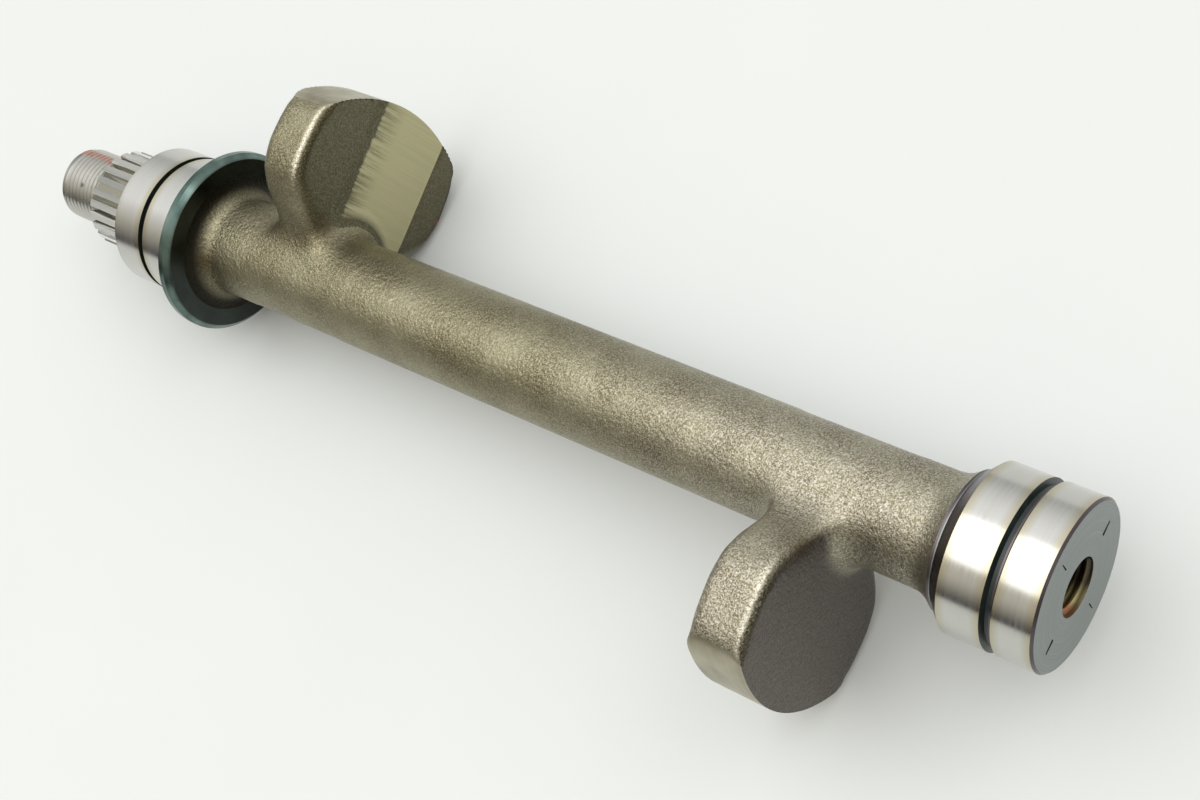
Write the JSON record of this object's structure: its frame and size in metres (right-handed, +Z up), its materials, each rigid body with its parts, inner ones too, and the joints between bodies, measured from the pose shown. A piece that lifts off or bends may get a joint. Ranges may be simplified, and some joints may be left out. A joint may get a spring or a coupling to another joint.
{
  "type": "balance shaft",
  "caption": "Forged engine balance shaft with opposed counterweights, ground grooved journals, a thrust flange, a short spline and a threaded stub; it cancels engine vibration.",
  "frame": {"origin": "on the floor under the middle of the shaft as it lies", "axes": "+X along the shaft toward the end with the tapped hole, +Z up from the floor, -Y toward the viewer"},
  "size_m": [0.2444, 0.0766, 0.0481],
  "materials": {
    "forged_steel": "forged skin on stem and weights, turned weight rims, ground journals"
  },
  "bodies": {
    "root": {"balance_shaft": "forged_steel"}
  },
  "joints": []
}
